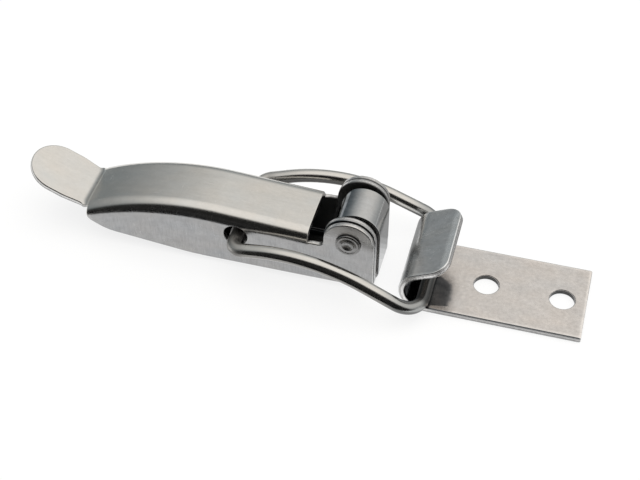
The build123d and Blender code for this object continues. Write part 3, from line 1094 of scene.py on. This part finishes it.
def drawn_wire(name, p):
    """Bright drawn wire: long drawing marks, faint clouds, rubbed spots and painted shade."""

    def paint(at):
        run = at.attribute("along", "Fac") * PER_METRE
        side, under, _ = at.millimetres(at.attribute("around", "Vector"))
        marks = at.cloud(side * 4.0, under * 4.0, run * 0.12, 3.0)
        cloud = at.cloud(side * 0.5, under * 0.5, run * 0.5, 4.0)
        fine = at.cloud(side * 4.0, under * 4.0, run * 4.0, 2.0)
        rubbed = at.step(cloud, 0.5, 1.1)
        # Painted shade towards the hook and inside it, painted shade along the lower side, and a dull bend
        # at the lever.
        shaded_by_hook = at.step(at.x + cloud * 0.6, p.crossbar_x - 9.5, p.crossbar_x - 2.5)
        underside_shade = at.step(under, -0.4, 0.0) * (1.0 - at.step(under, 1.0, 1.4))
        in_hook = at.step(at.x, p.crossbar_x - 5.0, p.crossbar_x - 3.0)
        in_hook = in_hook * at.step(at.size(at.y), 12.5, 10.5)
        knee = at.step(at.x, p.wire_hole_x + 4.6, p.wire_hole_x + 1.6)
        level = 1.0 + marks * 0.05 + cloud * 0.04 - rubbed * 0.08 - knee * 0.2
        level = level * (1.0 - shaded_by_hook * 0.4) * (1.0 - underside_shade * 0.55) * (1.0 - in_hook * 0.75)
        return {
            "Base Color": at.shade((*p.colour, 1.0), level, shaded_by_hook * -0.04),
            "Roughness": 0.21 + marks * 0.02 + cloud * 0.02 + rubbed * 0.08 + knee * 0.2,
            "Normal": at.bump(marks * 0.5 + fine * 0.3 + cloud * 0.4, 0.4, 0.004),
        }

    return metal(name, p, paint)


def rivet_steel(name, p):
    """Rivet: rings left by the setting tool, and rubbed spots."""

    def paint(at):
        up = at.z - p.pivot_z
        radius = up.maths("SQRT", at.x * at.x + up * up)
        rings = at.cloud(radius * 5.0, at.y * 0.3, 0.0, 2.0)
        cloud = at.cloud(at.x * 1.2, at.y * 1.2, at.z * 1.2)
        return {
            "Base Color": at.shade((*p.colour, 1.0), 1.0 + rings * 0.3 + cloud * 0.1, 0.01),
            "Roughness": 0.27 + rings * 0.05 + cloud * 0.04,
            "Normal": at.bump(rings + cloud, 0.5, 0.012),
        }

    return metal(name, p, paint)


# ---- Settings -------------------------------------------------------------------------------
def length(name, millimetres, description):
    """A length property, given in millimetres."""
    return FloatProperty(
        name=name, description=description, default=millimetres * MM, unit="LENGTH", precision=5
    )


def angle(name, degrees, description):
    """An angle property, given in degrees."""
    return FloatProperty(
        name=name, description=description, default=math.radians(degrees), subtype="ANGLE"
    )


def steel_colour(name, default, description):
    """A colour property."""
    return FloatVectorProperty(
        name=name, description=description, default=default, min=0.0, max=1.0, subtype="COLOR"
    )


def sizes_of(scene, name):
    """The shared settings and a piece's own as plain numbers, in millimetres and radians."""
    values = {}
    for group in (scene.latch_shared, getattr(scene, name)):
        for key in group.__annotations__:
            value, kind = getattr(group, key), group.bl_rna.properties[key]
            if kind.unit == "LENGTH":
                value = round(value / MM, 4)
            elif kind.subtype == "COLOR":
                value = tuple(value)
            values[key] = value
    return SimpleNamespace(**values)


class LatchShared(bpy.types.PropertyGroup):
    """Sizes that several pieces share."""

    lever_width: length("Lever width", 15.8, "Across the lever's walls")
    lever_sheet: length("Lever sheet", 1.2, "Thickness of the lever's sheet")
    pivot_z: length("Pivot height", 14.0, "Rivet axis above the mounting plane")
    pin_hole: length("Rivet hole", 4.1, "Hole for the rivet")
    wire_hole_x: length("Wire hole place", -25.1, "Centre of the lever's holes for the bail")
    mount_hole: length("Mounting hole", 5.5, "Diameter of the mounting holes")
    mount_pitch: length("Hole pitch", 16.5, "Between the mounting holes")


class LatchLever(bpy.types.PropertyGroup):
    """Pressed sheet lever."""

    outer_colour: steel_colour("Outer colour", (0.645, 0.63, 0.60), "Steel of the outer face")
    # The inner face's near-black grey is painted shade inside the channel.
    inner_colour: steel_colour("Inner colour", (0.12, 0.12, 0.12), "Steel of the inner face")
    edge_colour: steel_colour("Edge colour", (0.62, 0.62, 0.62), "Steel of the sheared edges")
    edge: length("Edge round", 0.3, "Rounding of the sheared edges")
    bend: length("Long bend", 3.0, "Outer radius of the two long bends")
    web_end_x: length("Web end", -9.0, "Place of the web's open end beside the pivot")
    web_end_z: length("Web end height", 14.2, "Top of the web's open end")
    web_slope: angle("Web slope", 3.4, "Fall of the straight run of the web")
    crest_x: length("Crest", -33.0, "Place of the web's crest")
    camber: length("Camber radius", 61.0, "Radius of the web's arc")
    thumb_x: length("Thumb place", -61.3, "Corner of the bend between web and thumb tab")
    thumb_setback: length("Thumb setback", 1.1, "Channel's blunt end, this side of that corner")
    thumb_bend: length("Thumb bend radius", 1.7, "Inner radius of that bend")
    thumb_tilt: angle("Thumb tilt", 26.0, "Rise of the tab")
    thumb_length: length("Thumb length", 15.1, "From the bend's corner to the tab's tip")
    thumb_width: length("Thumb width", 12.9, "Across the tab's round end")
    thumb_neck: length("Thumb neck", 12.0, "Across the tab's neck")
    thumb_flare: length("Thumb flare", 1.0, "Radius where the tab leaves the web")
    wall_foot_z: length("Wall foot", 1.5, "Height of the wall's lower edge")
    foot_end_x: length("Foot end", -35.5, "Where the lower edge starts to rise")
    foot_radius: length("Foot sweep", 40.0, "Radius of the sweep into the rising edge")
    heel_x: length("Heel", -55.5, "Lower corner of the rising edge")
    nose_drop: length("Nose drop", 2.9, "Depth of the wall's blunt end")
    heel_drop: length("Heel drop", 2.5, "Heel below the blunt end")
    nose_radius: length("Nose radius", 2.4, "Round of the blunt end's lower corner")
    heel_radius: length("Heel radius", 10.0, "Round of the heel")
    ear_radius: length("Ear radius", 5.5, "Round end of the ears about the rivet")
    ear_foot_radius: length("Ear foot radius", 1.0, "Round of the ear's lower corner")
    notch_depth: length("Notch depth", 2.1, "Floor of the relief beside the ear")
    notch_radius: length("Notch radius", 1.2, "Where the relief meets the ear")
    wire_hole_z: length("Wire hole height", 9.9, "Centre height of the holes for the bail")
    wire_hole: length("Wire hole", 5.2, "Diameter of the holes for the bail")


class LatchBase(bpy.types.PropertyGroup):
    """Base bracket with a curled knuckle."""

    # A darker grey than the lever's: partly its own tone, partly painted shade between the ears.
    outer_colour: steel_colour("Outer colour", (0.47, 0.475, 0.475), "Steel of the outer face")
    # The inner face's dark grey is painted shade under the lever.
    inner_colour: steel_colour("Inner colour", (0.20, 0.20, 0.20), "Steel of the inner face")
    edge_colour: steel_colour("Edge colour", (0.62, 0.62, 0.62), "Steel of the sheared edges")
    sheet: length("Sheet", 1.2, "Thickness of the sheet")
    edge: length("Edge round", 0.2, "Rounding of the sheared edges")
    width: length("Width", 13.14, "Across the ears")
    side_bend: length("Side bend", 1.8, "Outer radius under the ears")
    front_bend: length("Front bend", 3.0, "Outer radius under the front tongue")
    knuckle_radius: length("Knuckle radius", 5.2, "Outer radius of the curl")
    knuckle_length: length("Knuckle length", 8.7, "Width of the curled tongue")
    knuckle_wrap: angle("Knuckle wrap", 235.0, "How far the tongue curls")
    knuckle_offset: length("Knuckle offset", 0.9, "Curl axis in front of the rivet axis")
    ear_radius: length("Ear radius", 5.7, "Round top of the ears")
    ear_rear_x: length("Ear rear", -7.4, "Rear foot of the ears")
    ear_foot_z: length("Ear foot", 2.4, "Lowest point of the ears' front edge")
    relief_x: length("Relief place", 2.4, "Corner relief between ear and tongue")
    relief: length("Relief slit", 0.7, "Slit between ear and strip")
    strip_end_x: length("Strip end", -36.5, "Rear end of the mounting strip")
    end_radius: length("End radius", 3.0, "Round of the strip's rear corners")
    hole_edge: length("Hole edge", 6.0, "Rear hole centre from the strip's end")


class LatchCatch(bpy.types.PropertyGroup):
    """Hooked catch plate."""

    outer_colour: steel_colour("Upper colour", (0.60, 0.57, 0.545), "Steel of the upper face")
    inner_colour: steel_colour("Lower colour", (0.58, 0.585, 0.585), "Steel of the lower face")
    edge_colour: steel_colour("Edge colour", (0.75, 0.75, 0.75), "Steel of the sheared edges")
    sheet: length("Sheet", 1.5, "Thickness of the sheet")
    edge: length("Edge round", 0.24, "Rounding of the sheared edges")
    width: length("Width", 20.0, "Width of the plate")
    end_x: length("Plate end", 51.0, "Place of the plate's free end")
    end_radius: length("End radius", 0.4, "Round of the free end's corners")
    hook_x: length("Hook place", 17.2, "Centre of the hook's bend")
    hook_radius: length("Hook radius", 4.1, "Inner radius of the hook")
    hook_tilt: angle("Hook tilt", 26.0, "Slope of the hook's tongue")
    tongue: length("Tongue", 7.3, "Length of the hook's tongue")
    corner_radius: length("Corner radius", 3.7, "Free corners of the tongue")
    hole_edge: length("Hole edge", 5.3, "Last hole centre from the plate's end")


class LatchBail(bpy.types.PropertyGroup):
    """Bent wire draw bail."""

    colour: steel_colour("Wire colour", (0.63, 0.615, 0.585), "Steel of the wire")
    wire: length("Wire", 3.0, "Diameter of the wire")
    end_chamfer: length("End chamfer", 0.4, "Chamfer of the wire's ends")
    leg_reach: length("Leg reach", 1.6, "Wire end past the inner face of the lever's wall")
    side_gap: length("Side gap", 1.9, "Bail arm to lever wall")
    leg_z: length("Leg height", 9.1, "Height of the wire's legs in the lever")
    leg_bend: length("Leg bend", 3.0, "Centreline radius where the arms start")
    crest_x: length("Crest", -6.6, "Place of the arms' highest bend")
    crest_rise: length("Crest rise", 5.2, "Height of that bend above the legs")
    crest_width: length("Crest width", 27.1, "Between the arm centrelines at that bend")
    crest_radius: length("Crest radius", 35.0, "Centreline radius of that bend")
    hook_width: length("Hook width", 29.3, "Between the arm centrelines at the crossbar")
    crossbar_x: length("Crossbar place", 17.0, "Place of the crossbar")
    crossbar_z: length("Crossbar height", 3.4, "Height of the crossbar")
    corner_radius: length("Corner radius", 5.4, "Centreline radius of the front corners")


class LatchRivet(bpy.types.PropertyGroup):
    """Semi-tubular pivot rivet."""

    # A dark grey: partly the rivet's own tone, partly painted shade for the dark that it reflects.
    colour: steel_colour("Rivet colour", (0.27, 0.27, 0.27), "Steel of the rivet")
    shank: length("Shank", 4.0, "Diameter of the shank")
    head_dia: length("Head diameter", 5.5, "Diameter of both heads")
    head_height: length("Head height", 0.8, "Height of the domed head")
    tail_height: length("Tail height", 0.55, "Height of the rolled tail over the lever's wall")
    dimple_dia: length("Dimple diameter", 2.3, "Hollow in the middle of the tail")
    dimple_depth: length("Dimple depth", 0.45, "Depth of that hollow")
    head_gap: length("Head gap", 0.12, "Head to lever wall")


class LatchStudio(bpy.types.PropertyGroup):
    """Camera, floor and light."""

    camera_place: FloatVectorProperty(
        name="Camera place",
        description="Where the camera stands, measured from the latch's origin",
        default=(0.044095, -0.193709, 0.213651),
        subtype="TRANSLATION",
        unit="LENGTH",
    )
    camera_azimuth: angle("Camera azimuth", 15.12, "Turn of the camera round the latch")
    camera_elevation: angle("Camera elevation", 46.09, "Height of the camera above the horizon")
    camera_lens: FloatProperty(
        name="Lens", description="Focal length on a 36 mm sensor", default=73.86, unit="CAMERA"
    )
    floor_glow: FloatProperty(
        name="Floor glow", description="Light that the floor's paper gives by itself", default=0.82
    )
    panel_power: FloatProperty(
        name="Panel power", description="Strength of the soft light overhead", default=9.0, unit="POWER"
    )


# ---- Stage ----------------------------------------------------------------------------------------
# Glowing cards on the table that paint reflections and that only reflections see: name, level, near and far
# corner in metres.
REFLECTION_CARDS = (
    ("dark_cloth", 0.005, (-3.0, -3.0), (3.0, -0.027)),
    ("dim_cloth", 0.39, (-0.03, 0.0092), (0.3, 0.3)),
    ("pale_cloth_0", 0.50, (-0.03, 0.0074), (0.3, 0.0092)),
    ("pale_cloth_1", 0.62, (-0.03, 0.0060), (0.3, 0.0074)),
    ("pale_cloth_2", 0.76, (-0.03, 0.0044), (0.3, 0.0060)),
    ("pale_cloth_3", 0.85, (-0.03, 0.0026), (0.3, 0.0044)),
)
CARD_HEIGHT = 0.00004  # above the floor
SKY = (
    (0.00, (0.25, 0.275, 0.285, 1)),
    (0.20, (0.37, 0.385, 0.39, 1)),
    (0.32, (0.46, 0.475, 0.475, 1)),
    (0.42, (0.56, 0.57, 0.565, 1)),
    (0.50, (0.65, 0.655, 0.645, 1)),
    (0.57, (0.76, 0.755, 0.74, 1)),
    (0.625, (0.88, 0.87, 0.845, 1)),
    (0.66, (0.97, 0.95, 0.92, 1)),
    (0.71, (1.04, 1.015, 0.98, 1)),
    (0.90, (1.12, 1.09, 1.05, 1)),
)
SKY_MIDDLE = (0.35, 0.0, 0.937)  # direction of the middle of the overhead light
FRONT = (0.1, -0.99, 0.0)
FRONT_GREY = 0.012


def painted_shadow_under_latch(at):
    """1 where a painted shadow darkens the floor under the closed lever and the base bracket."""
    beside_knuckle = at.step(at.x, -15.0, -13.0)
    below_strip = at.step(at.y, 6.5, 5.7)
    length_ways = at.step(at.x, -36.0, -32.0) * at.step(at.x, 5.5, 4.5)
    cross_ways = at.step(at.y, -6.5, -5.7) * at.step(at.y, 8.8, 8.2)
    return cross_ways * length_ways * (beside_knuckle + below_strip)


def add_plane(name, size, place=(0.0, 0.0, 0.0)):
    """Adds a square with an empty material and returns it with its material."""
    bpy.ops.mesh.primitive_plane_add(size=size, location=place)
    plane = bpy.context.object
    plane.name = name
    material = bpy.data.materials.new(name)
    material.use_nodes = True
    plane.data.materials.append(material)
    return plane, material.node_tree


def add_floor(glow):
    """Pale paper that glows a little so that its shadows stay faint, with a painted shadow under the latch,
    where it turns black.
    """
    floor, tree = add_plane("floor", 6.0)
    shader = tree.nodes["Principled BSDF"]
    at = Spot(tree)
    under = painted_shadow_under_latch(at)
    inputs = {
        "Roughness": 0.9,
        "Specular IOR Level": 0.1,
        "Emission Strength": glow,
        # Under the latch the paper turns black: a painted shadow.
        "Base Color": at.mix_colour(under, grey(0.2), grey(0.0)),
        "Emission Color": at.mix_colour(under, grey(1.0), grey(0.0)),
    }
    for name, value in inputs.items():
        at.feed(shader.inputs[name], value)


def add_reflection_card(name, level, near, far):
    """Lays a glowing rectangle on the floor that paints a reflection, seen in reflections alone."""
    middle = ((near[0] + far[0]) / 2, (near[1] + far[1]) / 2, CARD_HEIGHT)
    card, tree = add_plane(name, 1.0, middle)
    card.scale = (far[0] - near[0], far[1] - near[1], 1.0)
    shader = tree.nodes["Principled BSDF"]
    shader.inputs["Base Color"].default_value = grey(0.0)
    shader.inputs["Specular IOR Level"].default_value = 0.0
    shader.inputs["Emission Color"].default_value = grey(level)
    shader.inputs["Emission Strength"].default_value = 1.0
    for flag in ("visible_camera", "visible_diffuse", "visible_transmission", "visible_shadow"):
        setattr(card, flag, False)


def add_sky():
    """Soft studio surround: a broad light overhead, dimmer towards the horizon, dark low in front."""
    world = bpy.data.worlds.new("studio")
    bpy.context.scene.world = world
    world.use_nodes = True
    world.node_tree.nodes.clear()
    graph = Graph(world.node_tree)
    way = graph.node("ShaderNodeTexCoord")
    # How near a direction is to the middle of the overhead light, by the cosine of the angle.
    near = graph.dot(way, SKY_MIDDLE)
    bright = graph.node("ShaderNodeValToRGB", {"stops": SKY}, {"Fac": near})
    ahead = graph.step(graph.dot(way, FRONT), 0.35, 0.57)
    colour = graph.mix_colour(ahead, bright, grey(FRONT_GREY))
    shade = graph.node("ShaderNodeBackground", None, {"Color": colour, "Strength": 1.0})
    graph.node("ShaderNodeOutputWorld", None, {"Surface": shade}, output=None)


def add_panel(power):
    """A soft light overhead that reflections don't see."""
    light = bpy.data.lights.new("overhead_panel", "AREA")
    light.energy = power
    light.size = 1.6
    panel = bpy.data.objects.new("overhead_panel", light)
    panel.location = (0.1, -0.1, 1.4)
    panel.visible_glossy = False
    bpy.context.scene.collection.objects.link(panel)


def add_camera(studio):
    """The camera, in its place and turned by its azimuth and elevation."""
    azimuth, elevation = studio.camera_azimuth, studio.camera_elevation
    back = Vector(
        (
            math.sin(azimuth) * math.cos(elevation),
            -math.cos(azimuth) * math.cos(elevation),
            math.sin(elevation),
        )
    )
    camera = bpy.data.objects.new("camera", bpy.data.cameras.new("camera"))
    bpy.context.scene.collection.objects.link(camera)
    camera.location = studio.camera_place
    camera.rotation_euler = (-back).to_track_quat("-Z", "Y").to_euler()
    camera.data.lens = studio.camera_lens
    camera.data.sensor_width = 36.0
    camera.data.clip_start = 0.01
    bpy.context.scene.camera = camera
    bpy.context.scene.view_settings.view_transform = "Standard"


# ---- Operators ------------------------------------------------------------------------------
class LATCH_OT_lever(bpy.types.Operator):
    """Makes the pressed lever"""

    bl_idname = "latch.lever"
    bl_label = "Lever"

    def execute(self, context):
        p = sizes_of(context.scene, "latch_lever")
        piece = build_lever(p)
        # The walls get partly painted shade; the crease, the walls' blunt ends and the ears get painted
        # highlights.
        finish = {"mottle": 0.04, "dull_and_shaded": lever_walls_dull_and_shaded, "wear_and_highlight": lever_painted_highlights}
        outside = sheet_steel("lever_outside", p, p.outer_colour, 0.2, **finish)
        inside = sheet_steel("lever_inside", p, p.inner_colour, 0.5)
        edge = sheared_edge("lever_edge", p, wire_hole_painted_shade)
        dress(piece, "lever", "lever", "lever_steel", outside, edge, inside)
        return {"FINISHED"}


class LATCH_OT_base(bpy.types.Operator):
    """Makes the base bracket"""

    bl_idname = "latch.base"
    bl_label = "Base bracket"

    def execute(self, context):
        p = sizes_of(context.scene, "latch_base")
        piece = build_base(p)
        # The dark inner face, the strip beside the ears and the rear of the knuckle carry painted shade.
        inside = sheet_steel("base_inside", p, p.inner_colour, 0.4, painted_shade=strip_painted_shade)
        outside = sheet_steel("base_outside", p, p.outer_colour, 0.17, painted_shade=knuckle_painted_shade)
        edge = sheared_edge("base_edge", p)
        dress(piece, "base", "frame", "base_steel", inside, edge, outside)
        return {"FINISHED"}


class LATCH_OT_catch(bpy.types.Operator):
    """Makes the catch plate"""

    bl_idname = "latch.catch"
    bl_label = "Catch plate"

    def execute(self, context):
        p = sizes_of(context.scene, "latch_catch")
        piece = build_catch(p)
        # The rims get wear and painted highlights; the hook's bend and the plate's lips get painted shade.
        finish = {"mottle": 0.15, "wear_and_highlight": plate_wear_and_highlights, "painted_shade": hook_painted_shade}
        upper = sheet_steel("plate_upper", p, p.outer_colour, 0.24, **finish)
        lower = sheet_steel("plate_lower", p, p.inner_colour, 0.24, mottle=0.12, wear_and_highlight=plate_wear_and_highlights)
        edge = sheared_edge("plate_edge", p, plate_edge_painted_shade)
        dress(piece, "catch_plate", "frame", "plate_steel", upper, edge, lower)
        return {"FINISHED"}


class LATCH_OT_bail(bpy.types.Operator):
    """Makes the wire bail"""

    bl_idname = "latch.bail"
    bl_label = "Wire bail"

    def execute(self, context):
        p = sizes_of(context.scene, "latch_bail")
        piece = build_bail(p, drawn_wire("drawn_wire", p))
        dress(piece, "bail", "bail", "wire_steel")
        return {"FINISHED"}


class LATCH_OT_rivet(bpy.types.Operator):
    """Makes the pivot rivet"""

    bl_idname = "latch.rivet"
    bl_label = "Rivet"

    def execute(self, context):
        p = sizes_of(context.scene, "latch_rivet")
        dress(build_rivet(p), "rivet", "frame", "rivet_steel", rivet_steel("rivet_steel", p))
        return {"FINISHED"}


class LATCH_OT_stage(bpy.types.Operator):
    """Makes the floor, the light and the camera"""

    bl_idname = "latch.stage"
    bl_label = "Stage"

    def execute(self, context):
        studio = context.scene.latch_studio
        add_floor(studio.floor_glow)
        # Glowing cards that paint reflections on the metal.
        for card in REFLECTION_CARDS:
            add_reflection_card(*card)
        add_sky()
        add_panel(studio.panel_power)
        add_camera(studio)
        return {"FINISHED"}


# ---- Add-on -----------------------------------------------------------------------------------
GROUPS = {
    "latch_shared": LatchShared,
    "latch_lever": LatchLever,
    "latch_base": LatchBase,
    "latch_catch": LatchCatch,
    "latch_bail": LatchBail,
    "latch_rivet": LatchRivet,
    "latch_studio": LatchStudio,
}
OPERATORS = (
    LATCH_OT_lever,
    LATCH_OT_base,
    LATCH_OT_catch,
    LATCH_OT_bail,
    LATCH_OT_rivet,
    LATCH_OT_stage,
)


class LATCH_PT_panel(bpy.types.Panel):
    """Sizes and buttons for each piece of the latch"""

    bl_idname = "LATCH_PT_panel"
    bl_label = "Toggle latch"
    bl_space_type = "VIEW_3D"
    bl_region_type = "UI"
    bl_category = "Latch"

    def draw(self, context):
        for operator in OPERATORS:
            self.layout.operator(operator.bl_idname)
        for name, group in GROUPS.items():
            box = self.layout.box()
            box.label(text=group.__doc__)
            for key in group.__annotations__:
                box.prop(getattr(context.scene, name), key)


CLASSES = (*GROUPS.values(), *OPERATORS, LATCH_PT_panel)


def register():
    for kind in CLASSES:
        bpy.utils.register_class(kind)
    for name, group in GROUPS.items():
        setattr(bpy.types.Scene, name, PointerProperty(type=group))


def unregister():
    for name in GROUPS:
        delattr(bpy.types.Scene, name)
    for kind in reversed(CLASSES):
        bpy.utils.unregister_class(kind)


def main():
    register()
    bpy.ops.latch.lever()
    bpy.ops.latch.base()
    bpy.ops.latch.catch()
    bpy.ops.latch.bail()
    bpy.ops.latch.rivet()
    bpy.ops.latch.stage()


if __name__ == "__main__":
    main()
